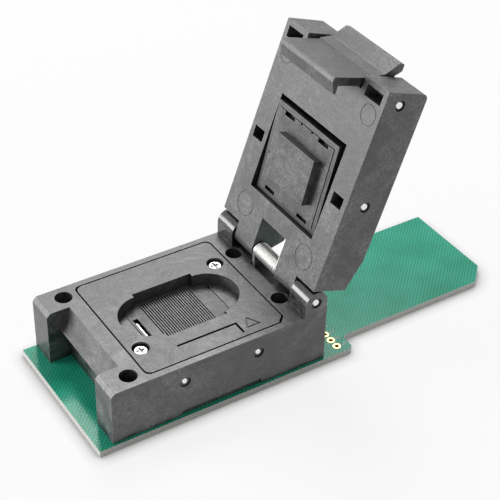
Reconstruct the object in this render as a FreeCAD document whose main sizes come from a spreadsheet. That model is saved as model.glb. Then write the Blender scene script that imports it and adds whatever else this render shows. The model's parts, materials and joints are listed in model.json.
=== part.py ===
import FreeCAD, Part
import math
import operator
import os
from types import SimpleNamespace

import Sketcher

Vector = FreeCAD.Vector
Rotation = FreeCAD.Rotation
Placement = FreeCAD.Placement

# Clamshell test socket on a narrow adapter board, with its lid resting open.
# Millimetres. The origin is on the underside of the board, below the middle of the chip seat.
# +X points to one long side, +Y to the hinge and the card edge, +Z up.
# Pieces of the lid are drawn in the lid's own frame: the hinge axis is its origin, the lid is closed,
# a distance "out" runs from the hinge to the free end (along -Y) and a height runs to the outer face.

DRIVING = {
    # adapter board
    "board_thickness": 1.4,
    "board_side_margin": 0.25,
    "board_shift": 0.3,
    "board_front_margin": 2.9,
    "board_shoulder": 6.6,
    "board_corner": 1.0,
    "tail_width": 24.0,
    "tail_length": 37.2,
    "tail_fillet": 1.2,
    "tail_chamfer": 3.8,
    # plated test holes behind the hinge
    "ring_count": 4,
    "ring_pitch": 2.0,
    "ring_inset": 1.85,
    "ring_gap": 4.0,
    "ring_hole": 0.42,
    "ring_barrel": 0.55,
    "ring_radius": 0.8,
    "ring_height": 0.06,
    # contact pads of the card edge, let in flush under the tail
    "pad_count": 8,
    "pad_first": 10.0,
    "pad_pitch": 2.5,
    "pad_width": 1.6,
    "pad_length": 4.4,
    "pad_depth": 0.06,
    "pad_inset": 1.2,
    # moulded base
    "base_width": 31.2,
    "base_length": 45.2,
    "base_top": 13.0,
    "front_bevel": 0.8,
    "foot_relief": 0.3,
    "foot_relief_height": 1.2,
    "foot_relief_length": 17.0,
    # latch notch in the front of the base
    "notch_half_width": 9.6,
    "notch_depth": 4.7,
    "notch_lip_depth": 2.55,
    "notch_lip_height": 8.45,
    "notch_wall_depth": 4.4,
    # vertical screw holes
    "screw_hole": 1.7,
    "front_hole_half_pitch": 12.65,
    "front_hole_inset": 5.0,
    "rear_hole_half_pitch": 8.1,
    "rear_hole_inset": 5.6,
    # hinge
    "hinge_rise": 2.55,
    "ear_radius": 2.4,
    "ear_inner": 10.25,
    "hinge_pin_radius": 0.75,
    "pin_end_bevel": 0.15,
    "pin_end_inset": 0.2,
    "pin_mouth": 1.1,
    "pin_mouth_depth": 0.45,
    "pin_fit": 0.01,
    "running_fit": 0.05,
    "spring_recess_half_width": 4.0,
    "spring_recess_front": 4.6,
    "spring_recess_depth": 1.6,
    # well for the contact block and the seat plate
    "well_half_width": 8.45,
    "well_half_length": 9.0,
    "well_gap": 0.15,
    # cover plate
    "cover_half_width": 14.03,
    "cover_half_length": 14.53,
    "cover_thickness": 2.45,
    "cover_gap": 0.3,
    "cover_corner": 1.3,
    "cover_cut_corner": 1.5,
    "window_half_width": 6.9,
    "window_half_length": 6.3,
    "relief_radius": 6.0,
    "relief_reach": 12.2,
    "groove_width": 0.45,
    "groove_depth": 0.7,
    "groove_line": 9.95,
    "groove_return": 13.05,
    "mark_reach": 1.8,
    "mark_line": 0.22,
    "mark_depth": 0.2,
    "mark_across": 11.4,
    "mark_along": 8.6,
    # cover screws
    "cover_screw_across": 7.25,
    "cover_screw_along": 12.15,
    "screw_head_radius": 1.375,
    "screw_head_height": 0.85,
    "screw_head_sink": 1.4,
    "counterbore_radius": 1.65,
    "screw_shank_radius": 0.7,
    "screw_length": 5.2,
    "screw_cross_length": 1.7,
    "screw_cross_width": 0.4,
    "screw_cross_depth": 0.5,
    # seat plate and its cross pins
    "seat_top": 10.5,
    "seat_thickness": 2.9,
    "seat_travel": 0.3,
    "seat_pin_radius": 0.6,
    "seat_pin_height": 9.2,
    "seat_pin_along": 7.75,
    "seat_pin_ring": 1.15,
    "seat_pin_ring_depth": 0.4,
    "pin_window_half_width": 2.9,
    "pin_window_lip": 0.4,
    "seat_notch_width": 0.7,
    "seat_notch_across": 4.1,
    "corner_cut_width": 2.2,
    "corner_cut_length": 1.3,
    # contact strips
    "slot_count": 22,
    "slot_pitch": 0.5,
    "slot_half_length": 6.2,
    "seat_slot_width": 0.26,
    "contact_columns": 11,
    "contact_pitch": 0.94,
    "contact_width": 0.5,
    "contact_thickness": 0.12,
    "contact_tip_drop": 0.45,
    "block_height": 5.2,
    "block_slot_gap": 0.02,
    "block_slot_half_length": 5.2,
    # springs under the seat plate
    "seat_spring_across": 6.85,
    "seat_spring_along": 4.6,
    "seat_spring_radius": 0.85,
    "seat_spring_wire": 0.22,
    "seat_spring_pocket": 1.15,
    "block_pocket_depth": 2.4,
    "seat_pocket_depth": 1.2,
    "seat_spring_turns": 4,
    # lid
    "open_angle": 109.5,
    "lid_inner": 1.9,
    "lid_outer": 7.5,
    "lid_root": 2.65,
    "lid_length": 43.0,
    "lid_end_radius": 1.2,
    "lid_bevel_length": 6.5,
    "lid_bevel_drop": 1.8,
    "tongue_half_width": 10.05,
    "tongue_radius": 1.9,
    "tongue_reach": 4.0,
    "heel_gap": 0.05,
    "tongue_slot_half_width": 4.0,
    "tongue_slot_end": 6.85,
    "tongue_low_out": 1.56,
    "tongue_back": 0.25,
    "tongue_back_height": 2.6,
    # shallow round marks on the inner face of the lid, where the mould pushes it out
    "mark_ring_width": 0.16,
    "mark_ring_depth": 0.08,
    "low_ring_across": 10.0,
    "low_ring_out": 6.65,
    "low_ring_radius": 2.5,
    "top_ring_across": 12.7,
    "top_ring_inset": 5.8,
    "top_ring_radius": 2.0,
    # pocket of the lid and the rocking carrier in it
    "pocket_half_width": 10.35,
    "pocket_start": 10.55,
    "pocket_end": 30.1,
    "pocket_roof": 5.0,
    "pad_pin_out": 20.3,
    "pad_pin_height": 2.77,
    "pad_tilt": 4.6,
    "pad_shift": -0.35,
    "carrier_half_width": 9.6,
    "carrier_start": 11.0,
    "carrier_end": 29.4,
    "carrier_face": 1.55,
    "carrier_thickness": 3.4,
    "carrier_boss": 1.9,
    # pressure plate
    "plate_half_width": 8.55,
    "plate_start": 11.9,
    "plate_end": 28.28,
    "plate_face": 1.68,
    "plate_thickness": 1.1,
    "plate_gap": 0.12,
    "pedestal_half_width": 5.8,
    "pedestal_start": 15.6,
    "pedestal_end": 24.75,
    "pedestal_height": 1.65,
    "clip_inner": 3.8,
    "clip_outer": 6.95,
    "clip_depth": 0.8,
    "bite_across": 1.67,
    "bite_radius": 0.32,
    "side_bite_out": 18.9,
    # windows of the lid over its two pins
    "pad_window_inner": 11.4,
    "pad_window_outer": 14.5,
    "pad_window_start": 19.1,
    "pad_window_end": 21.4,
    "latch_window_inner": 9.95,
    "latch_window_outer": 14.55,
    "latch_window_far": 3.2,
    "latch_window_near": 1.05,
    "window_depth": 5.7,
    # latch
    "latch_pin_inset": 2.5,
    "latch_pin_height": 1.8,
    "latch_half_width": 8.2,
    "latch_shift": 0.3,
    "latch_slot_half_width": 8.85,
    "latch_slot_run": 5.1,
    "latch_slot_back": 5.4,
    "latch_sill_run": 2.6,
    "latch_sill_depth": 0.5,
    "thumb_relief_run": 1.7,
    "latch_boss": 2.0,
    "latch_spring_across": 4.6,
    "latch_spring_height": 3.35,
    "latch_spring_radius": 0.85,
    "latch_spring_wire": 0.24,
    "latch_spring_pocket": 1.2,
    "latch_spring_run": 8.2,
    "latch_spring_turns": 4.5,
    "hook_round": 0.25,
    "tab_round": 0.3,
    # hinge spring
    "hinge_spring_radius": 1.45,
    "hinge_spring_wire": 0.42,
    "hinge_spring_half_length": 3.7,
    "hinge_spring_turns": 14,
    # how far a cutting shape runs past the face that it opens
    "past": 1.0,
}

# profile of the latch in the lid's frame: heights, and reaches past the free end of the lid;
# the hook is at the negative heights
LATCH = {
    "hook_tip_height": -8.55,
    "hook_tip_reach": -0.95,
    "hook_bevel_height": -8.6,
    "hook_bevel_reach": -1.95,
    "hook_toe_height": -7.6,
    "hook_toe_reach": -4.1,
    "hook_catch_height": -7.0,
    "hook_catch_reach": -4.2,
    "hook_root_height": -7.05,
    "hook_root_reach": -2.55,
    "arm_under_height": -0.3,
    "arm_under_reach": -2.25,
    "heel_height": 0.1,
    "heel_reach": -3.7,
    "neck_height": 4.9,
    "neck_reach": -1.8,
    "neck_top_height": 5.2,
    "neck_top_reach": 0.15,
    "tab_under_height": 5.75,
    "tab_under_reach": 0.45,
    "tab_lip_height": 6.5,
    "tab_lip_reach": 1.08,
    "tab_edge_height": 6.5,
    "tab_edge_reach": 2.4,
    "tab_tip_height": 5.4,
    "tab_tip_reach": 2.5,
    "tab_root_height": 2.8,
    "tab_root_reach": 0.25,
    "step_top_height": 0.25,
    "step_top_reach": -0.35,
    "step_low_height": 0.1,
    "step_low_reach": -0.58,
}
LATCH_CORNERS = [name.removesuffix("_height") for name in LATCH if name.endswith("_height")]


class Size:
    """A number together with the sheet formula that it comes from."""

    def __init__(self, number, formula):
        self.number = number
        self.formula = formula

    def combined(self, sign, other):
        other = as_size(other)
        number = SIGNS[sign](self.number, other.number)
        return Size(number, f"({self.formula} {sign} {other.formula})")

    def __add__(self, other):
        return self.combined("+", other)

    def __sub__(self, other):
        return self.combined("-", other)

    def __mul__(self, other):
        return self.combined("*", other)

    def __truediv__(self, other):
        return self.combined("/", other)

    def __neg__(self):
        return as_size(0).combined("-", self)


SIGNS = {"+": operator.add, "-": operator.sub, "*": operator.mul, "/": operator.truediv}


def as_size(value):
    return value if isinstance(value, Size) else Size(value, str(value))


def sine(angle):
    return Size(math.sin(math.radians(angle.number)), f"sin({angle.formula})")


def cosine(angle):
    return Size(math.cos(math.radians(angle.number)), f"cos({angle.formula})")


doc = FreeCAD.newDocument("test_socket")
sheet = doc.addObject("Spreadsheet::Sheet", "sizes")


def fill_sheet(values):
    """Write each driving size to a row of the sheet and return it with its formula."""
    named = {}
    for row, (alias, number) in enumerate(values.items(), start=1):
        sheet.set(f"A{row}", alias)
        sheet.set(f"B{row}", str(number))
        sheet.setAlias(f"B{row}", alias)
        named[alias] = Size(number, f"sizes.{alias}")
    doc.recompute()
    return SimpleNamespace(**named)


s = fill_sheet({**DRIVING, **LATCH})
ZERO = as_size(0)


# Building blocks


def bind(obj, prop, size):
    obj.setExpression(prop, as_size(size).formula)


def put(obj, x=ZERO, y=ZERO, z=ZERO):
    for axis, at in zip("xyz", (x, y, z)):
        bind(obj, f"Placement.Base.{axis}", at)
    return obj


def block(name, x, y, z):
    """A box given by its lowest and highest value along each axis."""
    box = doc.addObject("Part::Box", name)
    for prop, (low, high) in zip(("Length", "Width", "Height"), (x, y, z)):
        bind(box, prop, as_size(high) - low)
    return put(box, x[0], y[0], z[0])


def upright(name, radius, x, y, z):
    """A vertical cylinder from z[0] to z[1]."""
    rod = doc.addObject("Part::Cylinder", name)
    bind(rod, "Radius", radius)
    bind(rod, "Height", as_size(z[1]) - z[0])
    return put(rod, x, y, z[0])


def crosswise(name, radius, x, y, z):
    """A cylinder along X from x[0] to x[1]."""
    rod = doc.addObject("Part::Cylinder", name)
    bind(rod, "Radius", radius)
    bind(rod, "Height", as_size(x[1]) - x[0])
    rod.Placement = Placement(Vector(), Rotation(Vector(0, 1, 0), 90))
    return put(rod, x[0], y, z)


def lengthwise(name, radius, x, y, z):
    """A cylinder along Y from y[0] to y[1]."""
    rod = doc.addObject("Part::Cylinder", name)
    bind(rod, "Radius", radius)
    bind(rod, "Height", as_size(y[1]) - y[0])
    rod.Placement = Placement(Vector(), Rotation(Vector(1, 0, 0), -90))
    return put(rod, x, y[0], z)


def joined(name, pieces):
    if len(pieces) == 1:
        return pieces[0]
    fusion = doc.addObject("Part::MultiFuse", name)
    fusion.Shapes = pieces
    fusion.Refine = True
    return fusion


def group(name, pieces):
    """Separate like pieces that share one node."""
    compound = doc.addObject("Part::Compound", name)
    compound.Links = pieces
    return compound


def carved(name, base, tools):
    result = doc.addObject("Part::Cut", name)
    result.Base = base
    result.Tool = joined(name + "_cuts", tools)
    result.Refine = True
    return result


def corner_points(before, at, after, radius):
    """Where an arc of this radius leaves the two runs that meet at a corner, and its centre."""
    back = (before - at).normalize()
    ahead = (after - at).normalize()
    half = back.getAngle(ahead) / 2
    run = radius / math.tan(half)
    centre = at + (back + ahead).normalize() * (radius / math.sin(half))
    return at + back * run, at + ahead * run, centre


def draw(sketch, outline):
    """Draw a closed outline of straight runs; a corner with a third value is rounded by it."""
    corners = [Vector(as_size(c[0]).number, as_size(c[1]).number, 0) for c in outline]
    count = len(corners)
    arrive, leave, arcs = list(corners), list(corners), {}
    for i, corner in enumerate(outline):
        if len(corner) == 3:
            before, after = corners[i - 1], corners[(i + 1) % count]
            radius = as_size(corner[2]).number
            arrive[i], leave[i], centre = corner_points(before, corners[i], after, radius)
            turns_left = (corners[i] - before).cross(after - corners[i]).z > 0
            arcs[i] = (centre, radius, turns_left)
    for i in range(count):
        sketch.addGeometry(Part.LineSegment(leave[i], arrive[(i + 1) % count]), False)
    for i, (u, v, *rounding) in enumerate(outline):
        before = (i - 1) % count
        if rounding:
            point = round_corner(sketch, i, before, corners[i], arrive[i], leave[i], arcs[i], rounding[0])
            place = (point, 1)
        else:
            sketch.addConstraint(Sketcher.Constraint("Coincident", before, 2, i, 1))
            place = (i, 1)
        for kind, size in (("DistanceX", u), ("DistanceY", v)):
            size = as_size(size)
            index = sketch.addConstraint(Sketcher.Constraint(kind, -1, 1, *place, size.number))
            bind(sketch, f"Constraints[{index}]", size)


def round_corner(sketch, run, before, corner, arrive, leave, arc, rounding):
    """Join two runs with a tangent arc and return the point that marks their sharp corner."""
    centre, radius, turns_left = arc
    first, last = (arrive, leave) if turns_left else (leave, arrive)
    angles = [math.atan2(p.y - centre.y, p.x - centre.x) for p in (first, last)]
    circle = Part.Circle(centre, Vector(0, 0, 1), radius)
    bend = sketch.addGeometry(Part.ArcOfCircle(circle, *angles), False)
    mark = sketch.addGeometry(Part.Point(corner), True)
    ends = (1, 2) if turns_left else (2, 1)
    sketch.addConstraint(Sketcher.Constraint("Tangent", before, 2, bend, ends[0]))
    sketch.addConstraint(Sketcher.Constraint("Tangent", run, 1, bend, ends[1]))
    sketch.addConstraint(Sketcher.Constraint("PointOnObject", mark, 1, before))
    sketch.addConstraint(Sketcher.Constraint("PointOnObject", mark, 1, run))
    index = sketch.addConstraint(Sketcher.Constraint("Radius", bend, radius))
    bind(sketch, f"Constraints[{index}]", rounding)
    return mark


def profile(name, role, level, outline):
    """A body with one sketch on the origin plane of this role, moved out by a level."""
    body = doc.addObject("PartDesign::Body", name)
    plane = next(part for part in body.Origin.OriginFeatures if part.Role == role)
    sketch = body.newObject("Sketcher::SketchObject", name + "_outline")
    sketch.AttachmentSupport = [(plane, "")]
    sketch.MapMode = "FlatFace"
    bind(sketch, "AttachmentOffset.Base.z", level)
    draw(sketch, outline)
    return body, sketch


def prism(name, role, span, outline):
    """An outline on YZ_Plane run along X, or on XY_Plane run along Z."""
    body, sketch = profile(name, role, as_size(span[0]), outline)
    pad = body.newObject("PartDesign::Pad", name + "_pad")
    pad.Profile = sketch
    bind(pad, "Length", as_size(span[1]) - span[0])
    body.Tip = pad
    return body


def turned(name, outline):
    """An outline of (x, radius) corners turned about the X axis."""
    body, sketch = profile(name, "XY_Plane", ZERO, outline)
    turn = body.newObject("PartDesign::Revolution", name + "_turn")
    turn.Profile = sketch
    turn.ReferenceAxis = (sketch, ["H_Axis"])
    turn.Angle = 360
    body.Tip = turn
    return body


def cross_pin(name, radius, half_length):
    bevel = s.pin_end_bevel
    return turned(
        name,
        [
            (-half_length, ZERO),
            (half_length, ZERO),
            (half_length, radius - bevel),
            (half_length - bevel, radius),
            (-half_length + bevel, radius),
            (-half_length, radius - bevel),
        ],
    )


def solid(name, shape, at=None):
    """A shape made with the geometry functions, kept as its own object."""
    feature = doc.addObject("Part::Feature", name)
    feature.Shape = shape
    if at is not None:
        feature.Placement = at
    return feature


def coil_shape(radius, wire, turns, length):
    """A round wire wound about Z from height 0, starting at +X."""
    helix = Part.makeHelix(length / turns, length, radius)
    circle = Part.Circle(Vector(radius, 0, 0), Vector(0, 1, 0), wire / 2)
    section = Part.Wire([circle.toShape()])
    return Part.Wire(helix).makePipeShell([section], True, True)


# Places that several pieces share

half_base = s.base_width / 2
base_front = -(s.base_length / 2)
base_back = s.base_length / 2
hinge_y = base_back - s.ear_radius
hinge_z = s.base_top + s.hinge_rise
board_top = s.board_thickness
cover_floor = s.base_top - s.cover_thickness
recess_floor = s.base_top - s.spring_recess_depth
seat_under = s.seat_top - s.seat_thickness
block_top = board_top + s.block_height
pin_reach = half_base - s.pin_end_inset
board_step = base_back + s.board_shoulder
tail_end = board_step + s.tail_length
board_right = s.board_shift + half_base + s.board_side_margin
latch_pin_out = s.lid_length - s.latch_pin_inset
latch_slot_floor = s.lid_length - s.latch_slot_run
latch_spring_floor = s.lid_length - s.latch_spring_run


def out(distance):
    """Y in the lid's frame of a distance from the hinge towards the free end."""
    return -as_size(distance)


def hang_on_lid(piece, distance=ZERO, height=ZERO, lean=ZERO):
    """Place a piece that is drawn about a point of the lid, with the lid open."""
    turn, rise = sine(s.open_angle), cosine(s.open_angle)
    angle = s.open_angle - lean
    piece.Placement = Placement(Vector(), Rotation(Vector(-1, 0, 0), angle.number))
    put(piece, ZERO, hinge_y + height * turn - distance * rise, hinge_z + distance * turn + height * rise)
    bind(piece, "Placement.Rotation.Angle", angle)
    return piece


finished = []


def finish(piece, label):
    piece.Label = label
    finished.append(piece)
    return piece


# Circuit board


def screw_places():
    front = base_front + s.front_hole_inset
    rear = base_back - s.rear_hole_inset
    for side in (-1, 1):
        yield f"front_{side + 2}", s.front_hole_half_pitch * side, front
        yield f"rear_{side + 2}", s.rear_hole_half_pitch * side, rear


def ring_places():
    for i in range(int(s.ring_count.number)):
        yield i, board_right - s.ring_inset - s.ring_pitch * i, base_back + s.ring_gap


def card_pads(name, past):
    """The row of contact pads in the underside of the tail, or the pockets that they sit in."""
    rear = tail_end - s.pad_inset
    pads = []
    for i in range(int(s.pad_count.number)):
        middle = s.board_shift - s.pad_first + s.pad_pitch * i
        x = (middle - s.pad_width / 2, middle + s.pad_width / 2)
        pads.append(block(f"{name}_{i}", x, (rear - s.pad_length, rear), (-past, s.pad_depth)))
    return pads


def make_board():
    left = s.board_shift - half_base - s.board_side_margin
    front = base_front - s.board_front_margin
    tail_left = s.board_shift - s.tail_width / 2
    tail_right = s.board_shift + s.tail_width / 2
    plate = prism(
        "board_plate",
        "XY_Plane",
        (ZERO, s.board_thickness),
        [
            (left, front),
            (board_right, front),
            (board_right, board_step, s.board_corner),
            (tail_right, board_step, s.tail_fillet),
            (tail_right, tail_end - s.tail_chamfer),
            (tail_right - s.tail_chamfer, tail_end),
            (tail_left, tail_end),
            (tail_left, board_step, s.tail_fillet),
            (left, board_step, s.board_corner),
        ],
    )
    through = (-s.past, s.board_thickness + s.past)
    cuts = [upright("board_hole_" + n, s.screw_hole, x, y, through) for n, x, y in screw_places()]
    cuts += [upright(f"ring_hole_{i}", s.ring_barrel, x, y, through) for i, x, y in ring_places()]
    cuts += card_pads("pad_pocket", s.past)
    finish(carved("board", plate, cuts), "circuit_board")


def make_test_rings():
    rings = []
    for i, x, y in ring_places():
        top = board_top + s.ring_height
        barrel = upright(f"ring_barrel_{i}", s.ring_barrel, x, y, (ZERO, board_top))
        flange = upright(f"ring_flange_{i}", s.ring_radius, x, y, (board_top, top))
        bore = upright(f"ring_bore_{i}", s.ring_hole, x, y, (-s.past, top + s.past))
        rings.append(carved(f"ring_{i}", joined(f"ring_solid_{i}", [barrel, flange]), [bore]))
    finish(group("rings", rings), "test_rings")


# Base


def pin_mouths(name, radius, depth, y, z):
    """Round pockets in both sides of the socket, about the ends of a pin."""
    wide = half_base + s.past
    return [
        crosswise(name + "_left", radius, (-wide, -half_base + depth), y, z),
        crosswise(name + "_right", radius, (half_base - depth, wide), y, z),
    ]


def ears():
    """Two ears at the back of the base, round about the hinge axis."""
    pieces = []
    for name, x in (("left", (-half_base, -s.ear_inner)), ("right", (s.ear_inner, half_base))):
        y = (hinge_y - s.ear_radius, hinge_y + s.ear_radius)
        pieces.append(block("ear_foot_" + name, x, y, (s.base_top - s.past, hinge_z)))
        pieces.append(crosswise("ear_round_" + name, s.ear_radius, x, hinge_y, hinge_z))
    return pieces


def notch_cut():
    """The latch notch: a ramp down to a lip, and a recess under the lip for the hook."""
    front = base_front - s.past
    wall = base_front + s.notch_wall_depth
    lip = base_front + s.notch_lip_depth
    back = base_front + s.notch_depth
    return prism(
        "latch_notch",
        "YZ_Plane",
        (-s.notch_half_width, s.notch_half_width),
        [
            (front, board_top - s.past),
            (wall, board_top - s.past),
            (wall, s.notch_lip_height),
            (lip, s.notch_lip_height),
            (back, s.base_top),
            (back, s.base_top + s.past),
            (front, s.base_top + s.past),
        ],
    )


def cover_outline(grow):
    """Outline of the cover plate, or of the recess that it lies in."""
    x = s.cover_half_width + grow
    y = s.cover_half_length + grow
    return [
        (-x, -y, s.cover_corner),
        (x, -y, s.cover_corner),
        (x, y - s.cover_cut_corner),
        (x - s.cover_cut_corner, y),
        (-x, y, s.cover_corner),
    ]


def seat_pin_places():
    yield "front", -s.seat_pin_along
    yield "rear", s.seat_pin_along


def cover_screw_places():
    yield "front", s.cover_screw_across, -s.cover_screw_along
    yield "rear", -s.cover_screw_across, s.cover_screw_along


def make_base():
    shell = prism(
        "base_shell",
        "YZ_Plane",
        (-half_base, half_base),
        [
            (base_front, board_top),
            (base_back, board_top),
            (base_back, s.base_top),
            (base_front + s.front_bevel, s.base_top),
            (base_front, s.base_top - s.front_bevel),
        ],
    )
    whole = joined("base_whole", [shell] + ears())
    wide = half_base + s.past
    top = s.base_top + s.past
    cuts = [notch_cut()]
    cuts.append(prism("cover_recess", "XY_Plane", (cover_floor, top), cover_outline(s.cover_gap)))
    well_x, well_y = s.well_half_width, s.well_half_length
    cuts.append(block("well", (-well_x, well_x), (-well_y, well_y), (board_top - s.past, top)))
    for name, x, y in screw_places():
        cuts.append(upright("base_hole_" + name, s.screw_hole, x, y, (board_top - s.past, top)))
    for name, x, y in cover_screw_places():
        tip = s.base_top - s.screw_head_sink - s.screw_length
        cuts.append(upright("pilot_" + name, s.screw_shank_radius + s.pin_fit, x, y, (tip, top)))
    for name, y in seat_pin_places():
        z = s.seat_pin_height
        radius = s.seat_pin_radius + s.pin_fit
        cuts.append(crosswise("seat_bore_" + name, radius, (-wide, wide), y, z))
        cuts += pin_mouths("seat_ring_" + name, s.seat_pin_ring, s.seat_pin_ring_depth, y, z)
    hinge_bore = s.hinge_pin_radius + s.pin_fit
    cuts.append(crosswise("ear_bore", hinge_bore, (-wide, wide), hinge_y, hinge_z))
    cuts += pin_mouths("ear_mouth", s.pin_mouth, s.pin_mouth_depth, hinge_y, hinge_z)
    recess_y = (hinge_y + s.ear_radius - s.spring_recess_front, base_back + s.past)
    recess_x = (-s.spring_recess_half_width, s.spring_recess_half_width)
    cuts.append(block("spring_recess", recess_x, recess_y, (recess_floor, top)))
    relief_y = (-s.foot_relief_length / 2, s.foot_relief_length / 2)
    relief_z = (board_top - s.past, board_top + s.foot_relief_height)
    side = half_base - s.foot_relief
    for name, x in (("left", (-wide, -side)), ("right", (side, wide))):
        cuts.append(block("foot_relief_" + name, x, relief_y, relief_z))
    finish(carved("base", whole, cuts), "socket_base")


# Contact block, contacts, seat plate and their springs


def slot_places():
    for i in range(int(s.slot_count.number)):
        yield i, s.slot_pitch * (i + 0.5) - s.slot_pitch * s.slot_count / 2


def slots(name, width, reach, z):
    """The cutting shapes of the rows of slots."""
    half = width / 2
    x = (-reach, reach)
    return [block(f"{name}_{i}", x, (y - half, y + half), z) for i, y in slot_places()]


def spring_places():
    for i, (side, end) in enumerate(((-1, -1), (1, -1), (1, 1), (-1, 1))):
        yield i, s.seat_spring_across * side, s.seat_spring_along * end


def make_contact_block():
    x = s.well_half_width - s.well_gap
    y = s.well_half_length - s.well_gap
    body = block("block_body", (-x, x), (-y, y), (board_top, block_top))
    past_z = (board_top - s.past, block_top + s.past)
    slot_width = s.contact_thickness + s.block_slot_gap
    cuts = slots("block_slot", slot_width, s.block_slot_half_length, past_z)
    pocket_z = (block_top - s.block_pocket_depth, block_top + s.past)
    for i, at_x, at_y in spring_places():
        cuts.append(upright(f"block_pocket_{i}", s.seat_spring_pocket, at_x, at_y, pocket_z))
    finish(carved("contact_carrier", body, cuts), "contact_block")


def make_contacts():
    strips = []
    half_x, half_y = s.contact_width / 2, s.contact_thickness / 2
    columns = int(s.contact_columns.number)
    for i, y in slot_places():
        for j in range(columns):
            x = s.contact_pitch * (j - (columns - 1) / 2)
            z = (board_top, s.seat_top - s.contact_tip_drop)
            strips.append(block(f"contact_{i}_{j}", (x - half_x, x + half_x), (y - half_y, y + half_y), z))
    finish(group("contact_strips", strips), "contacts")


def make_seat_plate():
    x = s.well_half_width - s.well_gap
    y = s.well_half_length - s.well_gap
    plate = block("seat_body", (-x, x), (-y, y), (seat_under, s.seat_top))
    through = (seat_under - s.past, s.seat_top + s.past)
    cuts = slots("seat_slot", s.seat_slot_width, s.slot_half_length, through)
    for i, at_x, at_y in spring_places():
        pocket_z = (seat_under - s.past, seat_under + s.seat_pocket_depth)
        cuts.append(upright(f"seat_pocket_{i}", s.seat_spring_pocket, at_x, at_y, pocket_z))
    reach = s.seat_pin_radius + s.running_fit
    low = s.seat_pin_height - reach
    high = s.seat_pin_height + reach + s.seat_travel
    window = s.pin_window_half_width
    wide = x + s.past
    for name, at in seat_pin_places():
        cuts.append(block("pin_slot_" + name, (-wide, wide), (at - reach, at + reach), (low, high)))
    above = (low, s.seat_top + s.past)
    edge = -s.seat_pin_along
    cuts.append(block("pin_window", (-window, window), (edge - reach, edge + s.pin_window_lip), above))
    half = s.seat_notch_width / 2
    across = s.seat_notch_across
    for name, at_x, at_y in (("near", across, s.seat_pin_along), ("far", -across, y)):
        notch_x, notch_y = (at_x - half, at_x + half), (at_y - half, at_y + half)
        cuts.append(block("seat_notch_" + name, notch_x, notch_y, above))
    for name, side, end in (("a", -1, -1), ("b", 1, 1)):
        corner_x = sorted((x * side - s.corner_cut_width * side, x * side + s.past * side), key=number_of)
        corner_y = sorted((y * end - s.corner_cut_length * end, y * end + s.past * end), key=number_of)
        cuts.append(block("seat_corner_" + name, corner_x, corner_y, (high, s.seat_top + s.past)))
    finish(carved("seat", plate, cuts), "seat_plate")


def number_of(size):
    return size.number


def make_seat_springs():
    wire = s.seat_spring_wire.number
    floor = block_top.number - s.block_pocket_depth.number
    roof = seat_under.number + s.seat_pocket_depth.number
    springs = []
    turns = s.seat_spring_turns.number
    for i, x, y in spring_places():
        shape = coil_shape(s.seat_spring_radius.number, wire, turns, roof - floor - wire)
        at = Placement(Vector(x.number, y.number, floor + wire / 2), Rotation())
        springs.append(solid(f"seat_spring_{i}", shape, at))
    finish(group("seat_spring_set", springs), "seat_springs")


# Cover plate and its screws


def make_cover_plate():
    plate = prism("cover_blank", "XY_Plane", (cover_floor, s.base_top), cover_outline(ZERO))
    z = (cover_floor - s.past, s.base_top + s.past)
    window_x, window_y = s.window_half_width, s.window_half_length
    cuts = [block("chip_window", (-window_x, window_x), (-window_y, window_y), z)]
    for name, side in (("front", -1), ("rear", 1)):
        centre = (s.relief_reach - s.relief_radius) * side
        cuts.append(upright("finger_relief_" + name, s.relief_radius, ZERO, centre, z))
    for name, x, y in cover_screw_places():
        shank = s.screw_shank_radius + s.running_fit
        cuts.append(upright("cover_hole_" + name, shank, x, y, z))
        sunk = (s.base_top - s.screw_head_sink, s.base_top + s.past)
        cuts.append(upright("counterbore_" + name, s.counterbore_radius, x, y, sunk))
    groove_z = (s.base_top - s.groove_depth, s.base_top + s.past)
    line, width = s.groove_line, s.groove_width
    along = (-s.window_half_length, s.window_half_length)
    cuts.append(block("groove_run", (line, line + width), along, groove_z))
    cuts.append(block("groove_return", (line, s.groove_return), (along[1] - width, along[1]), groove_z))
    cuts.append(corner_mark())
    finish(carved("cover", plate, cuts), "cover_plate")


def corner_mark():
    """A thin triangle engraved near the cut corner, which marks contact number one."""
    z = (s.base_top - s.mark_depth, s.base_top + s.past)
    triangles = []
    for name, reach in (("mark_outside", s.mark_reach), ("mark_inside", s.mark_reach - s.mark_line * 2)):
        corners = []
        for angle in (180, 300, 60):
            turn = as_size(angle)
            corners.append((s.mark_across + reach * cosine(turn), s.mark_along + reach * sine(turn)))
        triangles.append(prism(name, "XY_Plane", z, corners))
    return carved("mark", triangles[0], triangles[1:])


def make_cover_screws():
    top = s.base_top - s.screw_head_sink + s.screw_head_height
    under = s.base_top - s.screw_head_sink
    for name, x, y in cover_screw_places():
        head = upright("head_" + name, s.screw_head_radius, x, y, (under, top))
        shank = upright("shank_" + name, s.screw_shank_radius, x, y, (under - s.screw_length, under))
        half, width = s.screw_cross_length / 2, s.screw_cross_width / 2
        z = (top - s.screw_cross_depth, top + s.past)
        cross = [
            block("cross_a_" + name, (x - half, x + half), (y - width, y + width), z),
            block("cross_b_" + name, (x - width, x + width), (y - half, y + half), z),
        ]
        screw = carved("screw_" + name, joined("screw_blank_" + name, [head, shank]), cross)
        finish(screw, "cover_screw_" + name)


# Steel pins of the base


def make_base_pins():
    for name, y in seat_pin_places():
        pin = cross_pin("pin_" + name, s.seat_pin_radius, pin_reach)
        finish(put(pin, ZERO, y, s.seat_pin_height), "seat_pin_" + name)
    pin = cross_pin("pin_hinge", s.hinge_pin_radius, pin_reach)
    finish(put(pin, ZERO, hinge_y, hinge_z), "hinge_pin")


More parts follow.
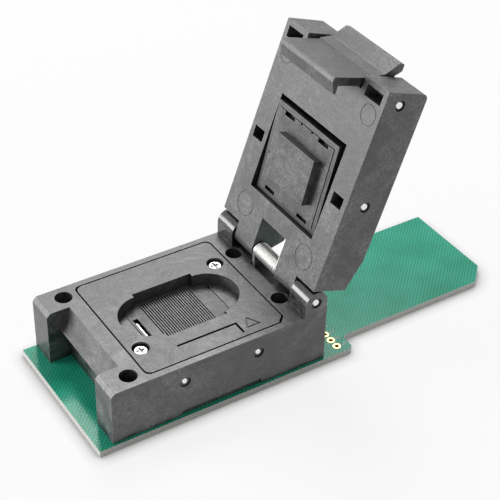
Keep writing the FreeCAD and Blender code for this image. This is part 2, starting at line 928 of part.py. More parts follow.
def make_hinge_spring():
    """A torsion spring round the hinge pin, with a leg down into the base and one up into the lid."""
    radius, wire = s.hinge_spring_radius.number, s.hinge_spring_wire.number
    half = s.hinge_spring_half_length.number
    turns = s.hinge_spring_turns.number + (s.open_angle.number - 90) / 360
    start = Vector(radius, 0, 0)
    last_turn = Rotation(Vector(0, 0, 1), turns * 360)
    end = Vector(0, 0, half * 2) + last_turn.multVec(start)
    base_leg = (hinge_z - recess_floor).number
    lid_leg = s.tongue_slot_end.number
    down = Part.makeCylinder(wire / 2, base_leg, start, Vector(0, -1, 0))
    up = Part.makeCylinder(wire / 2, lid_leg, end, last_turn.multVec(Vector(0, 1, 0)))
    spring = coil_shape(radius, wire, turns, half * 2).fuse(down).fuse(up)
    left_handed = spring.mirror(Vector(), Vector(0, 1, 0))
    front_first = Rotation(Vector(1, 0, 0), -90) * Rotation(Vector(0, 1, 0), 90)
    place = Placement(Vector(-half, hinge_y.number, hinge_z.number), front_first)
    finish(solid("torsion_spring", left_handed, place), "hinge_spring")


# Lid


def bevel_height(distance):
    """Height of the sloping part of the outer face at a distance from the hinge."""
    return s.lid_outer - s.lid_bevel_drop + (distance - s.lid_root) * s.lid_bevel_drop / s.lid_bevel_length


def tongue():
    """The hinge tongue: round in front, with a flat heel that rests on the base when open."""
    x = (-s.tongue_half_width, s.tongue_half_width)
    roll = crosswise("tongue_round", s.tongue_radius, x, ZERO, ZERO)
    web = block("tongue_web", x, (out(s.tongue_reach), ZERO), (-s.lid_inner, s.tongue_radius))
    rear = prism(
        "tongue_rear",
        "YZ_Plane",
        x,
        [
            (out(s.tongue_reach), ZERO),
            (out(s.tongue_reach), bevel_height(s.tongue_reach)),
            (out(s.tongue_low_out), bevel_height(s.tongue_low_out)),
            (s.tongue_back, s.tongue_back_height),
            (ZERO, ZERO),
        ],
    )
    drop = s.hinge_rise - s.heel_gap
    heel_box = block("heel_box", x, (ZERO, s.ear_radius), (-drop, s.tongue_reach - s.past))
    heel = joined("tongue_heel", [heel_box, crosswise("heel_core", s.hinge_pin_radius, x, ZERO, ZERO)])
    heel.Placement = Placement(Vector(), Rotation(Vector(1, 0, 0), s.open_angle.number))
    bind(heel, "Placement.Rotation.Angle", s.open_angle)
    return [roll, web, rear, heel]


def lid_windows():
    inner_past = -s.lid_inner - s.past
    windows = []
    for side in (-1, 1):
        tag = f"{side + 2}"
        for name, inner, outer, first, last in (
            ("pad_window_", s.pad_window_inner, s.pad_window_outer, s.pad_window_start, s.pad_window_end),
            ("latch_window_", s.latch_window_inner, s.latch_window_outer,
             s.lid_length - s.latch_window_far, s.lid_length - s.latch_window_near),
        ):
            x = sorted((inner * side, outer * side), key=number_of)
            z = (inner_past, s.window_depth - s.lid_inner)
            windows.append(block(name + tag, x, (out(last), out(first)), z))
    return windows


def ring_marks(name, distance, across, radius):
    """A shallow ring on each side of the inner face."""
    rings = []
    low, high = -s.lid_inner - s.past, -s.lid_inner + s.mark_ring_depth
    y = out(distance)
    for side in (-1, 1):
        x = across * side
        outside = upright(f"{name}_outside_{side + 2}", radius, x, y, (low, high))
        core = radius - s.mark_ring_width
        inside = upright(f"{name}_inside_{side + 2}", core, x, y, (low - s.past, high + s.past))
        rings.append(carved(f"{name}_{side + 2}", outside, [inside]))
    return rings


def latch_spring_places():
    for i, side in enumerate((-1, 1)):
        yield i, s.latch_spring_across * side


def make_lid():
    x = (-half_base, half_base)
    shell = prism(
        "lid_shell",
        "YZ_Plane",
        x,
        [
            (out(s.lid_root), -s.lid_inner),
            (out(s.lid_root), s.lid_outer - s.lid_bevel_drop),
            (out(s.lid_root + s.lid_bevel_length), s.lid_outer),
            (out(s.lid_length), s.lid_outer, s.lid_end_radius),
            (out(s.lid_length), -s.lid_inner),
        ],
    )
    whole = joined("lid_whole", [shell] + tongue())
    below, above = -s.lid_inner - s.past, s.lid_outer + s.past
    wide = half_base + s.past
    slot = s.tongue_slot_half_width
    slot_y = (out(s.tongue_slot_end), s.tongue_reach)
    cuts = [block("tongue_slot", (-slot, slot), slot_y, (below - s.past, above))]
    pocket = s.pocket_half_width
    cuts.append(block("pad_pocket", (-pocket, pocket), (out(s.pocket_end), out(s.pocket_start)),
                      (below, s.pocket_roof)))
    latch_x = (-s.latch_slot_half_width, s.latch_slot_half_width)
    past_end = s.lid_length + s.past
    slot_roof = s.latch_slot_back
    for name, run, z in (
        ("latch_slot", s.latch_slot_run, (-s.latch_sill_depth, slot_roof)),
        ("latch_mouth", s.latch_sill_run, (below, slot_roof)),
        ("thumb_relief", s.thumb_relief_run, (slot_roof - s.past, above)),
    ):
        cuts.append(block(name, latch_x, (out(past_end), out(s.lid_length - run)), z))
    cuts += lid_windows()
    cuts += ring_marks("low_ring", s.low_ring_out, s.low_ring_across, s.low_ring_radius)
    top_out = s.lid_length - s.top_ring_inset
    cuts += ring_marks("top_ring", top_out, s.top_ring_across, s.top_ring_radius)
    hinge_bore = s.hinge_pin_radius + s.running_fit
    pin_bore = s.hinge_pin_radius + s.pin_fit
    cuts.append(crosswise("tongue_bore", hinge_bore, (-wide, wide), ZERO, ZERO))
    for name, distance, height in lid_pin_places():
        cuts.append(crosswise(name + "_bore", pin_bore, (-wide, wide), out(distance), height))
        cuts += pin_mouths(name + "_mouth", s.pin_mouth, s.pin_mouth_depth, out(distance), height)
    for i, at in latch_spring_places():
        y = (out(latch_slot_floor + s.past), out(latch_spring_floor))
        cuts.append(lengthwise(f"latch_pocket_{i}", s.latch_spring_pocket, at, y, s.latch_spring_height))
    finish(hang_on_lid(carved("lid_body", whole, cuts)), "lid")


def lid_pin_places():
    yield "latch_pin", latch_pin_out, s.latch_pin_height
    yield "pad_pin", s.pad_pin_out, s.pad_pin_height


def make_lid_pins():
    for name, distance, height in lid_pin_places():
        pin = cross_pin(name + "_rod", s.hinge_pin_radius, pin_reach)
        finish(hang_on_lid(pin, distance, height), name)


# Latch


def make_latch():
    rounding = {
        "hook_tip": s.hook_round,
        "hook_bevel": s.hook_round,
        "hook_toe": s.hook_round,
        "tab_lip": s.tab_round,
        "tab_edge": s.tab_round,
    }
    outline = []
    for name in LATCH_CORNERS:
        corner = [out(s.lid_length + getattr(s, name + "_reach")), getattr(s, name + "_height")]
        if name in rounding:
            corner.append(rounding[name])
        outline.append(corner)
    x = (s.latch_shift - s.latch_half_width, s.latch_shift + s.latch_half_width)
    bar = prism("latch_bar", "YZ_Plane", x, outline)
    boss = crosswise("latch_boss", s.latch_boss, x, out(latch_pin_out), s.latch_pin_height)
    wide = s.latch_half_width + s.past
    bore = crosswise("latch_eye", s.hinge_pin_radius + s.running_fit, (-wide, wide),
                     out(latch_pin_out), s.latch_pin_height)
    whole = carved("latch_body", joined("latch_whole", [bar, boss]), [bore])
    finish(hang_on_lid(whole), "latch")


def make_latch_springs():
    """Two springs behind the latch pin that push the thumb tab out and the hook in."""
    wire = s.latch_spring_wire.number
    floor = latch_spring_floor.number
    length = latch_pin_out.number - s.latch_boss.number - floor - wire
    springs = []
    for i, x in latch_spring_places():
        shape = coil_shape(s.latch_spring_radius.number, wire, s.latch_spring_turns.number, length)
        start = Vector(x.number, -floor - wire / 2, s.latch_spring_height.number)
        springs.append(solid(f"latch_spring_{i}", shape, Placement(start, Rotation(Vector(1, 0, 0), 90))))
    finish(hang_on_lid(group("latch_spring_set", springs)), "latch_springs")


# Rocking carrier and pressure plate, drawn about the pad pin


def carrier_y(distance):
    return out(as_size(distance) - s.pad_pin_out)


def make_pad_carrier():
    x = (s.pad_shift - s.carrier_half_width, s.pad_shift + s.carrier_half_width)
    face = -s.carrier_face - s.pad_pin_height
    y = (carrier_y(s.carrier_end), carrier_y(s.carrier_start))
    slab = block("carrier_slab", x, y, (face, face + s.carrier_thickness))
    boss = crosswise("carrier_boss", s.carrier_boss, x, ZERO, ZERO)
    web = block("carrier_web", x, (-s.carrier_boss, s.carrier_boss), (face + s.past, ZERO))
    reach = s.plate_half_width + s.plate_gap
    plate_x = (s.pad_shift - reach, s.pad_shift + reach)
    plate_y = (carrier_y(s.plate_end + s.plate_gap), carrier_y(s.plate_start - s.plate_gap))
    seat = -s.plate_face - s.pad_pin_height + s.plate_thickness
    recess = block("plate_recess", plate_x, plate_y, (face - s.past, seat))
    wide = half_base
    bore = crosswise("carrier_bore", s.hinge_pin_radius + s.running_fit, (-wide, wide), ZERO, ZERO)
    whole = carved("carrier_body", joined("carrier_whole", [slab, boss, web]), [recess, bore])
    finish(hang_on_lid(whole, s.pad_pin_out, s.pad_pin_height, s.pad_tilt), "pad_carrier")


def make_pressure_plate():
    middle = s.pad_shift
    left_edge, right_edge = middle - s.plate_half_width, middle + s.plate_half_width
    face = -s.plate_face - s.pad_pin_height
    y = (carrier_y(s.plate_end), carrier_y(s.plate_start))
    plate = block("plate_slab", (left_edge, right_edge), y, (face, face + s.plate_thickness))
    pedestal_y = (carrier_y(s.pedestal_end), carrier_y(s.pedestal_start))
    pedestal_z = (face - s.pedestal_height, face + s.plate_thickness / 2)
    half = s.pedestal_half_width
    pedestal = block("pedestal", (-half, half), pedestal_y, pedestal_z)
    z = (face - s.past, face + s.plate_thickness + s.past)
    cuts = [upright("bite_side", s.bite_radius, left_edge, carrier_y(s.side_bite_out), z)]
    for tag, side in (("left", -1), ("right", 1)):
        cuts.append(upright("bite_" + tag, s.bite_radius, middle + s.bite_across * side, y[0], z))
        x = sorted((middle + s.clip_inner * side, middle + s.clip_outer * side), key=number_of)
        far = (carrier_y(s.plate_end + s.past), carrier_y(s.plate_end - s.clip_depth))
        near = (carrier_y(s.plate_start + s.clip_depth), carrier_y(s.plate_start - s.past))
        cuts.append(block("clip_far_" + tag, x, far, z))
        cuts.append(block("clip_near_" + tag, x, near, z))
    whole = carved("plate_body", joined("plate_whole", [plate, pedestal]), cuts)
    finish(hang_on_lid(whole, s.pad_pin_out, s.pad_pin_height, s.pad_tilt), "pressure_plate")


def check_document():
    for obj in doc.Objects:
        if "Invalid" in obj.State or "Error" in obj.State:
            raise SystemExit(f"{obj.Name} did not build: {obj.State}")
    for piece in finished:
        if piece.Shape.isNull() or not piece.Shape.isValid() or not piece.Shape.Solids:
            raise SystemExit(f"{piece.Label} has no valid solid")


make_board()
card = card_pads("card_pad", ZERO)
finish(group("card_pad_set", card), "card_contacts")
make_test_rings()
make_base()
make_contact_block()
make_contacts()
make_seat_plate()
make_seat_springs()
make_cover_plate()
make_cover_screws()
make_base_pins()
make_hinge_spring()
make_lid()
make_lid_pins()
make_latch()
make_latch_springs()
make_pad_carrier()
make_pressure_plate()
doc.recompute()
check_document()

os.makedirs("parts", exist_ok=True)
for piece in finished:
    piece.Shape.exportStep(f"parts/{piece.Label}.step")
    print(f"{piece.Label}: {len(piece.Shape.Solids)} solids, {piece.Shape.Volume:.2f} mm3")
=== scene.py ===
"""Looks of the clamshell test socket: materials, fine metal pieces, floor, light and camera."""
import json
import math

import bmesh
import bpy
from mathutils import Matrix, Vector


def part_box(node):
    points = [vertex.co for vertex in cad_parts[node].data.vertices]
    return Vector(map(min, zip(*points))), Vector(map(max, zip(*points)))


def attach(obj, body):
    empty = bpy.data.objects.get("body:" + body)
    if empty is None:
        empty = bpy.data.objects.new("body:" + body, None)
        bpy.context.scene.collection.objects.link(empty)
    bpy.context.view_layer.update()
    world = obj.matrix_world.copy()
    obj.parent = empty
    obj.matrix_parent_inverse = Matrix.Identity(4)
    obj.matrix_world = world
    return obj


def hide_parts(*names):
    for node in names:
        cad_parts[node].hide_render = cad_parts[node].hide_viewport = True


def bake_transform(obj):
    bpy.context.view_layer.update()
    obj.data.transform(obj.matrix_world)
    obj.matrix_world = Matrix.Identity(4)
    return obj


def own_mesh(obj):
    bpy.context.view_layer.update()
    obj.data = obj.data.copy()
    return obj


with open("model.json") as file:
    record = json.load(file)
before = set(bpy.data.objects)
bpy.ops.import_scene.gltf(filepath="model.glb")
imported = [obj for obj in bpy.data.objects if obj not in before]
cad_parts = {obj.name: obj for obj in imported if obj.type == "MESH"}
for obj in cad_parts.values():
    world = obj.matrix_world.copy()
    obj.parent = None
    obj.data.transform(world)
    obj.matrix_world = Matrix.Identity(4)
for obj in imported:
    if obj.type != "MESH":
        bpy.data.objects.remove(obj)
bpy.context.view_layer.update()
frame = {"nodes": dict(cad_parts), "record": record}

cad = frame["nodes"]
MM = 0.001
ROOT_BODY = "socket"

# The hinge ears of the base are polished. They rise past the top of the cover plate.
EARS_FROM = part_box("cover_plate")[1].z + 0.4 * MM

# A mix node names its sockets alike, so they go by place: two inputs and the output, for each kind of data.
MIX_SOCKETS = {"RGBA": (6, 7, 2), "VECTOR": (4, 5, 1)}


# Shader recipes


def add(tree, kind, **settings):
    """A new node; each setting is the value of an input or, if it has none of that name, an option."""
    node = tree.nodes.new(kind)
    for name, value in settings.items():
        if name in node.inputs:
            node.inputs[name].default_value = value
        else:
            setattr(node, name, value)
    return node


def feed(tree, value, socket):
    """Link a socket to another one, or set it to a number or a colour."""
    if isinstance(value, bpy.types.NodeSocket):
        tree.links.new(value, socket)
    elif isinstance(value, tuple):
        socket.default_value = (*value, 1)
    else:
        socket.default_value = value


def surface_point(tree):
    return add(tree, "ShaderNodeTexCoord").outputs["Object"]


def component(tree, vector, axis):
    node = add(tree, "ShaderNodeSeparateXYZ")
    feed(tree, vector, node.inputs["Vector"])
    return node.outputs[axis]


def stretched(tree, point, x=1.0, y=1.0, z=1.0, turn=(0.0, 0.0, 0.0)):
    node = add(tree, "ShaderNodeMapping", Scale=(x, y, z), Rotation=turn)
    feed(tree, point, node.inputs["Vector"])
    return node.outputs["Vector"]


def noise(tree, point, feature, detail=3.0, roughness=0.5, distortion=0.0):
    """Noise whose blotches are about this many metres across."""
    node = add(tree, "ShaderNodeTexNoise", Scale=1 / feature, Detail=detail, Roughness=roughness,
               Distortion=distortion)
    feed(tree, point, node.inputs["Vector"])
    return node.outputs["Fac"]


def arithmetic(tree, operation, first, second=0.0):
    node = add(tree, "ShaderNodeMath", operation=operation)
    feed(tree, first, node.inputs[0])
    feed(tree, second, node.inputs[1])
    return node.outputs["Value"]


def uneven(tree, middle, *shares):
    """A number about this middle that follows some noises, each by its share."""
    total = middle - sum(share for _, share in shares) / 2
    for value, share in shares:
        total = arithmetic(tree, "ADD", total, arithmetic(tree, "MULTIPLY", value, share))
    return total


def ramp(tree, value, *stops):
    """A colour ramp through (place, colour) stops; a single grey level may stand for a colour."""
    node = add(tree, "ShaderNodeValToRGB")
    elements = node.color_ramp.elements
    while len(elements) < len(stops):
        elements.new(0.5)
    for element, (place, colour) in zip(elements, stops):
        element.position = place
        grey = isinstance(colour, (int, float))
        element.color = (colour, colour, colour, 1) if grey else (*colour, 1)
    feed(tree, value, node.inputs["Fac"])
    return node.outputs["Color"]


def blended(tree, share, first, second, mode="MIX", data="RGBA"):
    """Two colours or vectors mixed by a share, which may be a socket or a number."""
    node = add(tree, "ShaderNodeMix", data_type=data, blend_type=mode)
    first_at, second_at, result_at = MIX_SOCKETS[data]
    feed(tree, share, node.inputs["Factor"])
    feed(tree, first, node.inputs[first_at])
    feed(tree, second, node.inputs[second_at])
    return node.outputs[result_at]


def raised(tree, height, distance, strength=1.0, below=None):
    """A bump of this height in metres, laid over the normal from below."""
    node = add(tree, "ShaderNodeBump", Strength=strength, Distance=distance)
    feed(tree, height, node.inputs["Height"])
    if below is not None:
        feed(tree, below, node.inputs["Normal"])
    return node.outputs["Normal"]


def soft_edges(tree, radius):
    return add(tree, "ShaderNodeBevel", Radius=radius, samples=6).outputs["Normal"]


def openness(tree, reach, inside=False):
    """How open the surface is within this reach: low in hollows or, from inside, low along outer edges."""
    node = add(tree, "ShaderNodeAmbientOcclusion", Distance=reach, inside=inside, samples=5)
    return node.outputs["AO"]


def new_material(name, **settings):
    made = bpy.data.materials.new(name)
    made.use_nodes = True
    shader = made.node_tree.nodes["Principled BSDF"]
    for socket, value in settings.items():
        shader.inputs[socket.replace("_", " ")].default_value = value
    return made, made.node_tree, shader


# Finishes

# Marks in the plastic, as stops of a noise: its value there, and the factor on the colour.
DRIFT_TONES = (0.38, 0.64), (0.62, 1.42)
MARBLE_TONES = (0.38, 0.66), (0.47, 1.0), (0.51, 1.36), (0.56, 0.96), (0.66, 1.3)
STREAK_TONES = (0.40, 0.72), (0.62, 1.30)
GRAIN_TONES = (0.38, 0.50), (0.62, 1.55)

# Reaches of the pale edge mask (wear and a painted edge highlight) and of the painted shade in hollows, and
# the roughness of polished faces.
WEAR_AND_HIGHLIGHT_REACH = 0.24 * MM
PAINTED_SHADE_REACH = 3 * MM
POLISHED = 0.2  # roughness


def moulded_plastic(name, dark, pale, gloss, swirl=9 * MM, edge=0.1 * MM, wear_and_highlight_grey=0.28,
                    polished_above=None):
    """Dark glass-filled plastic: marbled flow marks, fibre streaks, a fine grain, worn edges with a painted
    edge highlight, and painted shade in its hollows.

    Its grey goes from dark to pale in flow marks about swirl across, and gloss is its middle roughness.
    Edges are rounded to the radius edge and paled to the given edge grey, partly wear and partly a painted
    edge highlight. Hollows are darkened by painted shade. Above the height polished_above the surface is
    smooth.
    """
    made, tree, shader = new_material(name, IOR=1.55, Specular_IOR_Level=0.78)
    point = surface_point(tree)
    drift = noise(tree, point, 2.4 * swirl, detail=2, distortion=0.8)
    cloud = noise(tree, point, swirl, detail=4, roughness=0.55, distortion=1.2)
    marble = noise(tree, point, 0.5 * swirl, detail=3, roughness=0.45, distortion=2.6)
    streak = noise(tree, stretched(tree, point, z=2.6), 1.4 * MM, detail=5, distortion=2.4)
    grain = noise(tree, point, 0.42 * MM, detail=4, roughness=0.8)

    colour = ramp(tree, cloud, (0.38, dark), (0.48, 0.5 * (dark + pale)), (0.54, 0.75 * pale), (0.58, pale))
    for mark, tones in ((drift, DRIFT_TONES), (marble, MARBLE_TONES), (streak, STREAK_TONES),
                        (grain, GRAIN_TONES)):
        colour = blended(tree, 1.0, colour, ramp(tree, mark, *tones), "MULTIPLY")
    # Edges paled towards the given edge grey: partly wear, partly a painted edge highlight where the
    # rounded edges would catch light.
    at_edges = ramp(tree, openness(tree, WEAR_AND_HIGHLIGHT_REACH, inside=True), (0.52, 1.0), (0.80, 0.0))
    wear_and_highlight = arithmetic(tree, "MULTIPLY", at_edges, ramp(tree, streak, (0.34, 0.35), (0.60, 1.0)))
    colour = blended(tree, wear_and_highlight, colour, (wear_and_highlight_grey, wear_and_highlight_grey, wear_and_highlight_grey))
    # Painted shade: the colour darkens in hollows, gaps and corners, the more closed in they are, as if
    # shade fell there.
    painted_hollow_shade = ramp(tree, openness(tree, PAINTED_SHADE_REACH), (0.35, 0.03), (0.88, 1.0))
    feed(tree, blended(tree, 1.0, colour, painted_hollow_shade, "MULTIPLY"), shader.inputs["Base Color"])

    roughness = uneven(tree, gloss, (cloud, 0.40), (marble, 0.24), (drift, 0.20))
    rounded = normal = soft_edges(tree, edge)
    for mark, distance, strength in ((cloud, 0.13 * MM, 0.7), (streak, 0.03 * MM, 0.6),
                                     (grain, 0.03 * MM, 0.6)):
        normal = raised(tree, mark, distance, strength, normal)
    if polished_above is not None:
        # The height is scaled so that the polish starts in the middle of the ramp.
        height = arithmetic(tree, "MULTIPLY", component(tree, point, "Z"), 0.5 / polished_above)
        polish = ramp(tree, height, (0.50, 0.0), (0.52, 1.0))
        roughness = blended(tree, polish, roughness, (POLISHED, POLISHED, POLISHED))
        normal = blended(tree, polish, normal, rounded, data="VECTOR")
    feed(tree, roughness, shader.inputs["Roughness"])
    feed(tree, normal, shader.inputs["Normal"])
    return made


def solder_mask(name):
    """Green lacquer over a copper hatch, with bare fibreglass on the cut edges."""
    hatch_pitch, copper_share = 0.62 * MM, 0.36
    lacquer_roughness, glass_roughness = 0.2, 0.65
    cut_below = 0.7  # the upward part of the normal, under which a face is a cut edge
    made, tree, shader = new_material(name, IOR=1.45, Specular_IOR_Level=0.28)
    point = surface_point(tree)
    stripes = []
    for turn in (45, -45):
        across = component(tree, stretched(tree, point, turn=(0, 0, math.radians(turn))), "X")
        place = arithmetic(tree, "FRACT", arithmetic(tree, "DIVIDE", across, hatch_pitch))
        stripes.append(arithmetic(tree, "LESS_THAN", place, copper_share))
    hatch = arithmetic(tree, "MAXIMUM", *stripes)
    lacquer = noise(tree, point, 7 * MM, detail=3)
    over_copper = ramp(tree, lacquer, (0.3, (0.016, 0.42, 0.26)), (0.7, (0.045, 0.53, 0.36)))
    over_glass = ramp(tree, lacquer, (0.3, (0.005, 0.22, 0.125)), (0.7, (0.015, 0.29, 0.18)))
    mask = blended(tree, hatch, over_glass, over_copper)
    weave = noise(tree, stretched(tree, point, z=6), 0.35 * MM, detail=3)
    glass = ramp(tree, weave, (0.35, (0.48, 0.48, 0.45)), (0.65, (0.84, 0.84, 0.81)))
    upright = component(tree, add(tree, "ShaderNodeNewGeometry").outputs["True Normal"], "Z")
    cut = arithmetic(tree, "LESS_THAN", arithmetic(tree, "ABSOLUTE", upright), cut_below)
    roughness = arithmetic(tree, "MULTIPLY", cut, glass_roughness - lacquer_roughness)
    feed(tree, blended(tree, cut, mask, glass), shader.inputs["Base Color"])
    feed(tree, arithmetic(tree, "ADD", roughness, lacquer_roughness), shader.inputs["Roughness"])
    feed(tree, raised(tree, hatch, 0.03 * MM, 0.7), shader.inputs["Normal"])
    return made


def bright_metal(name, colour, gloss, along=(1.0, 1.0, 1.0), edge=0.05 * MM, hollow=0.3 * MM):
    """Ground or drawn metal with fine marks, a slightly uneven tone and painted shade, a dull brownish
    dark, in its hollows.
    """
    made, tree, shader = new_material(name, Metallic=1.0)
    marks = noise(tree, stretched(tree, surface_point(tree), *along), 0.2 * MM, detail=4)
    dull = tuple(0.84 * part for part in colour)
    tone = ramp(tree, marks, (0.3, dull), (0.7, colour))
    # Painted shade: the colour turns a dull brownish dark in hollows, the more closed in they are.
    painted_hollow_shade = ramp(tree, openness(tree, hollow), (0.45, (0.09, 0.075, 0.065)), (0.80, 1.0))
    feed(tree, blended(tree, 1.0, tone, painted_hollow_shade, "MULTIPLY"), shader.inputs["Base Color"])
    feed(tree, uneven(tree, gloss, (marks, 0.22)), shader.inputs["Roughness"])
    feed(tree, raised(tree, marks, 0.004 * MM, 0.6, soft_edges(tree, edge)), shader.inputs["Normal"])
    return made


def printed_ink(name):
    """White legend ink, a little patchy."""
    made, tree, shader = new_material(name, Roughness=0.6)
    patchy = noise(tree, surface_point(tree), 0.15 * MM, detail=3)
    feed(tree, ramp(tree, patchy, (0.3, 0.62), (0.6, 0.82)), shader.inputs["Base Color"])
    feed(tree, raised(tree, patchy, 0.005 * MM), shader.inputs["Normal"])
    return made


STEEL = (0.93, 0.92, 0.91)

FINISHES = {
    "board": solder_mask("solder_mask"),
    "gold": bright_metal("gold_plate", (0.86, 0.60, 0.24), 0.26),
    "housing": moulded_plastic("base_plastic", 0.026, 0.088, 0.40, polished_above=EARS_FROM),
    "lid": moulded_plastic("lid_plastic", 0.026, 0.094, 0.46, swirl=8 * MM),
    "latch": moulded_plastic("latch_plastic", 0.030, 0.064, 0.40, swirl=7 * MM, edge=0.18 * MM,
                             wear_and_highlight_grey=0.40),
    "cover": moulded_plastic("cover_plastic", 0.022, 0.086, 0.45, swirl=7 * MM, wear_and_highlight_grey=0.05),
    "seat": moulded_plastic("seat_plastic", 0.030, 0.064, 0.48, swirl=3 * MM, edge=0.03 * MM),
    "carrier": moulded_plastic("carrier_plastic", 0.030, 0.068, 0.46, swirl=6 * MM),
    "pressure": moulded_plastic("pad_plastic", 0.040, 0.090, 0.42, swirl=5 * MM),
    "insulator": moulded_plastic("block_plastic", 0.012, 0.022, 0.5, swirl=3 * MM, edge=0.03 * MM,
                                 wear_and_highlight_grey=0.03),
    "contact_metal": bright_metal("contact_gold", (0.83, 0.56, 0.24), 0.34, edge=0.01 * MM,
                                  hollow=0.15 * MM),
    "pin": bright_metal("ground_steel", STEEL, 0.30, along=(0.2, 1, 1), hollow=0.08 * MM),
    "screw": bright_metal("plated_steel", STEEL, 0.28, hollow=0.5 * MM),
    "spring": bright_metal("spring_wire", (0.95, 0.94, 0.92), 0.42, edge=0.02 * MM, hollow=0.12 * MM),
}

for part in frame["record"]["subparts"]:
    materials = cad[part["node"]].data.materials
    materials.clear()
    materials.append(FINISHES[part["material_slot"]])


# Fine pieces


def new_object(name, data):
    made = bpy.data.objects.new(name, data)
    bpy.context.scene.collection.objects.link(made)
    return made


def piece(name, mesh, slot, body, replaced):
    """A new object in place of a node, riding on a body, or left free when it is given none."""
    made = new_object(name, mesh)
    mesh.materials.append(FINISHES[slot])
    if body is not None:
        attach(made, body)
    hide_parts(replaced)
    return made


def mesh_of(name, shape):
    bmesh.ops.recalc_face_normals(shape, faces=shape.faces)
    mesh = bpy.data.meshes.new(name)
    shape.to_mesh(mesh)
    shape.free()
    return mesh


def add_prism(shape, corners, direction):
    """Run a flat outline along a direction and close both ends."""
    near = [shape.verts.new(corner) for corner in corners]
    far = [shape.verts.new(Vector(corner) + direction) for corner in corners]
    shape.faces.new(near)
    shape.faces.new(far[::-1])
    count = len(corners)
    for i in range(count):
        after = (i + 1) % count
        shape.faces.new((near[i], near[after], far[after], far[i]))


def make_contact_crowns():
    """The contact strips with their split tips, in place of the plain strips."""
    half, thickness, notch = 0.25 * MM, 0.12 * MM, 0.2 * MM
    rows, columns = 22, 11
    low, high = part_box("contacts")
    outline = [(-half, low.z), (half, low.z), (half, high.z), (0.5 * half, high.z), (0, high.z - notch),
               (-0.5 * half, high.z), (-half, high.z)]
    shape = bmesh.new()
    for i in range(rows):
        y = low.y + (high.y - low.y - thickness) * i / (rows - 1)
        for j in range(columns):
            x = low.x + half + (high.x - low.x - 2 * half) * j / (columns - 1)
            add_prism(shape, [(x + across, y, z) for across, z in outline], Vector((0, thickness, 0)))
    piece("contact_crowns", mesh_of("contact_crowns", shape), "contact_metal", ROOT_BODY, "contacts")


def make_screw(name, node):
    """A pan head screw: domed rim and a tapered cross, as one surface of rings about its axis."""
    low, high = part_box(node)
    middle = (low + high) / 2
    head, shank = (high.x - low.x) / 2, 0.7 * MM
    head_height, rim = 0.85 * MM, 0.32 * MM
    arm, arm_root, arm_tip = 0.92 * MM, 0.34 * MM, 0.22 * MM
    cross_depth, tip_rise, end_slope, side_slope = 0.62 * MM, 0.45, 0.25 * MM, 0.05 * MM
    around, rings = 144, 44
    shape = bmesh.new()

    def top(x, y):
        fall = max(0.0, math.hypot(x, y) - (head - rim)) / rim
        z = high.z - rim * (1 - math.sqrt(max(0.0, 1 - fall * fall)))
        along, aside = max(abs(x), abs(y)), min(abs(x), abs(y))
        width = arm_root + (arm_tip - arm_root) * along / arm
        if along < arm and aside < width:
            slope = min(1.0, (arm - along) / end_slope, (width - aside) / side_slope)
            z -= cross_depth * slope * (1 - tip_rise * along / arm)
        return z

    def ring(radius, z=None):
        """A circle of vertices, on the top of the head if it has no height of its own."""
        circle = []
        for step in range(around):
            angle = 2 * math.pi * step / around
            x, y = radius * math.cos(angle), radius * math.sin(angle)
            circle.append(shape.verts.new((middle.x + x, middle.y + y, top(x, y) if z is None else z)))
        return circle

    circles = [ring(head * k / rings) for k in range(1, rings + 1)]
    centre = shape.verts.new((middle.x, middle.y, top(0, 0)))
    circles += [ring(head, high.z - head_height), ring(shank, high.z - head_height), ring(shank, low.z)]
    for step in range(around):
        after = (step + 1) % around
        shape.faces.new((centre, circles[0][step], circles[0][after]))
        for inner, outer in zip(circles, circles[1:]):
            shape.faces.new((inner[step], outer[step], outer[after], inner[after]))
    shape.faces.new(circles[-1][::-1])
    piece(name, mesh_of(name, shape), "screw", ROOT_BODY, node)


def copied_spring(name, node, body):
    """A piece with a copy of the node's own mesh, for a spring."""
    mesh = cad[node].data.copy()
    mesh.materials.clear()
    return piece(name, mesh, "spring", body, node)


def make_hinge_coil():
    """The torsion spring: a leg in the base, a leg on the lid, and the coil that twists between them."""
    coil = copied_spring("hinge_coil", "hinge_spring", None)
    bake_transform(coil)


def make_seat_coils():
    """The springs under the seat, which shorten as the seat is pressed down."""
    coils = copied_spring("seat_coils", "seat_springs", ROOT_BODY)
    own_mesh(coils)


def make_ring_numbers():
    """Plain white numbers printed beside the test holes."""
    strokes = {
        "1": ((1, 0, 1, 2),),
        "2": ((0, 2, 1, 2), (1, 2, 1, 1), (1, 1, 0, 1), (0, 1, 0, 0), (0, 0, 1, 0)),
        "3": ((0, 2, 1, 2), (1, 2, 1, 0), (0, 1, 1, 1), (0, 0, 1, 0)),
        "4": ((0, 2, 0, 1), (0, 1, 1, 1), (1, 2, 1, 0)),
    }
    cell, line, ink, margin = 0.38 * MM, 0.13 * MM, 0.015 * MM, 0.45 * MM
    ring_radius, ring_rise = 0.8 * MM, 0.06 * MM
    low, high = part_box("test_rings")
    pitch = (high.x - low.x - 2 * ring_radius) / (len(strokes) - 1)
    front = high.y + margin
    board_top = high.z - ring_rise
    shape = bmesh.new()
    for i, digit in enumerate(strokes.values()):
        left = low.x + ring_radius + pitch * i - cell / 2
        for x0, y0, x1, y1 in digit:
            low_x, high_x = left + min(x0, x1) * cell - line / 2, left + max(x0, x1) * cell + line / 2
            low_y, high_y = front + min(y0, y1) * cell - line / 2, front + max(y0, y1) * cell + line / 2
            corners = [(low_x, low_y), (high_x, low_y), (high_x, high_y), (low_x, high_y)]
            add_prism(shape, [(x, y, board_top) for x, y in corners], Vector((0, 0, ink)))
    made = new_object("ring_numbers", mesh_of("ring_numbers", shape))
    made.data.materials.append(printed_ink("white_ink"))
    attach(made, ROOT_BODY)


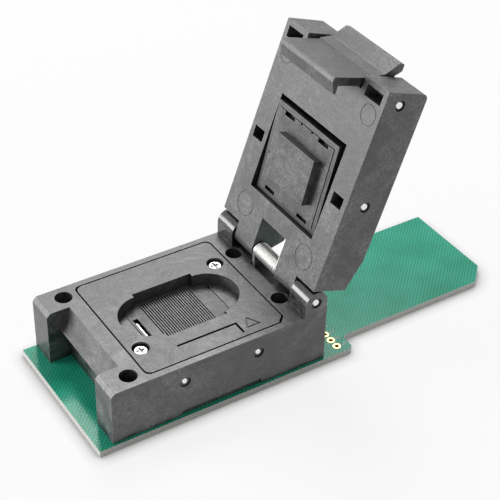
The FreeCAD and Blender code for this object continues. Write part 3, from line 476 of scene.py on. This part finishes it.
make_contact_crowns()
make_screw("front_screw", "cover_screw_front")
make_screw("rear_screw", "cover_screw_rear")
make_hinge_coil()
make_seat_coils()
make_ring_numbers()


# Floor, light and camera

LAMP_TARGET = Vector((0, 0.01, 0.02))


def seen_rays(tree):
    """One for the rays that show a thing itself, and nought for those that only carry its light."""
    rays = add(tree, "ShaderNodeLightPath")
    seen = arithmetic(tree, "MAXIMUM", rays.outputs["Is Camera Ray"], rays.outputs["Is Glossy Ray"])
    return arithmetic(tree, "MAXIMUM", seen, rays.outputs["Is Transmission Ray"])


def show_mixed(tree, share, first, second, output):
    """Mix two shaders and send them to the output."""
    mixed = add(tree, "ShaderNodeMixShader")
    for value, socket in zip((share, first, second), mixed.inputs):
        feed(tree, value, socket)
    feed(tree, mixed.outputs["Shader"], tree.nodes[output].inputs["Surface"])


def make_floor():
    """A pale floor that keeps its own soft shadow, has a painted contact shadow in its glow near the
    socket, and otherwise looks plain white.
    """
    reach, gap, glow_share, contact_reach = 2.0, 0.02 * MM, 0.85, 3 * MM
    shape = bmesh.new()
    corners = [shape.verts.new((x * reach, y * reach, -gap))
               for x, y in ((-1, -1), (1, -1), (1, 1), (-1, 1))]
    shape.faces.new(corners)
    floor = new_object("floor", mesh_of("floor", shape))
    made, tree, shader = new_material("pale_floor", Base_Color=(0.94, 0.94, 0.94, 1), Roughness=0.8,
                                      Specular_IOR_Level=0.0)
    glow = add(tree, "ShaderNodeEmission", Strength=1.0)
    # Painted contact shadow: the floor's glow darkens where the socket stands close over it.
    feed(tree, ramp(tree, openness(tree, contact_reach), (0.40, 0.16), (0.97, 1.0)), glow.inputs["Color"])
    share = arithmetic(tree, "MULTIPLY", seen_rays(tree), glow_share)
    show_mixed(tree, share, shader.outputs["BSDF"], glow.outputs["Emission"], "Material Output")
    floor.data.materials.append(made)


def make_world():
    """White all round: dim as light on the socket, bright where it is seen or mirrored."""
    world = bpy.data.worlds.new("studio")
    bpy.context.scene.world = world
    world.use_nodes = True
    tree = world.node_tree
    ambient = tree.nodes["Background"]
    ambient.inputs["Color"].default_value = (1, 1, 1, 1)
    ambient.inputs["Strength"].default_value = 0.30
    backdrop = add(tree, "ShaderNodeBackground", Color=(1, 1, 1, 1), Strength=1.0)
    show_mixed(tree, seen_rays(tree), ambient.outputs["Background"], backdrop.outputs["Background"],
               "World Output")


def make_lamp(name, place, width, power):
    """A square soft lamp that faces the socket."""
    data = bpy.data.lights.new(name, "AREA")
    data.shape = "SQUARE"
    data.size = width
    data.energy = power
    lamp = new_object(name, data)
    lamp.location = place
    aim = LAMP_TARGET - Vector(place)
    lamp.rotation_euler = aim.to_track_quat("-Z", "Y").to_euler()


def make_camera():
    azimuth, elevation, roll = (math.radians(angle) for angle in (56.78, 37.04, 1.54))
    target = Vector((1.40, 14.5, 20.88)) * MM
    distance = 265.8 * MM
    back = Vector((math.sin(azimuth) * math.cos(elevation),
                   -math.cos(azimuth) * math.cos(elevation),
                   math.sin(elevation)))
    right = Vector((math.cos(azimuth), math.sin(azimuth), 0))
    up = back.cross(right)
    across = right * math.cos(roll) + up * math.sin(roll)
    upward = up * math.cos(roll) - right * math.sin(roll)
    data = bpy.data.cameras.new("camera")
    data.lens = 102.59
    data.sensor_width = 36
    data.clip_start, data.clip_end = 0.01, 10
    camera = new_object("camera", data)
    turn = Matrix((across, upward, back)).transposed().to_4x4()
    camera.matrix_world = Matrix.Translation(target + back * distance) @ turn
    bpy.context.scene.camera = camera


make_floor()
make_world()
make_lamp("key", place=(-0.48, -0.70, 0.24), width=0.45, power=5.4)
make_lamp("back", place=(-0.46, 0.30, 0.73), width=0.36, power=4.2)
make_camera()
bpy.context.scene.view_settings.view_transform = "Standard"
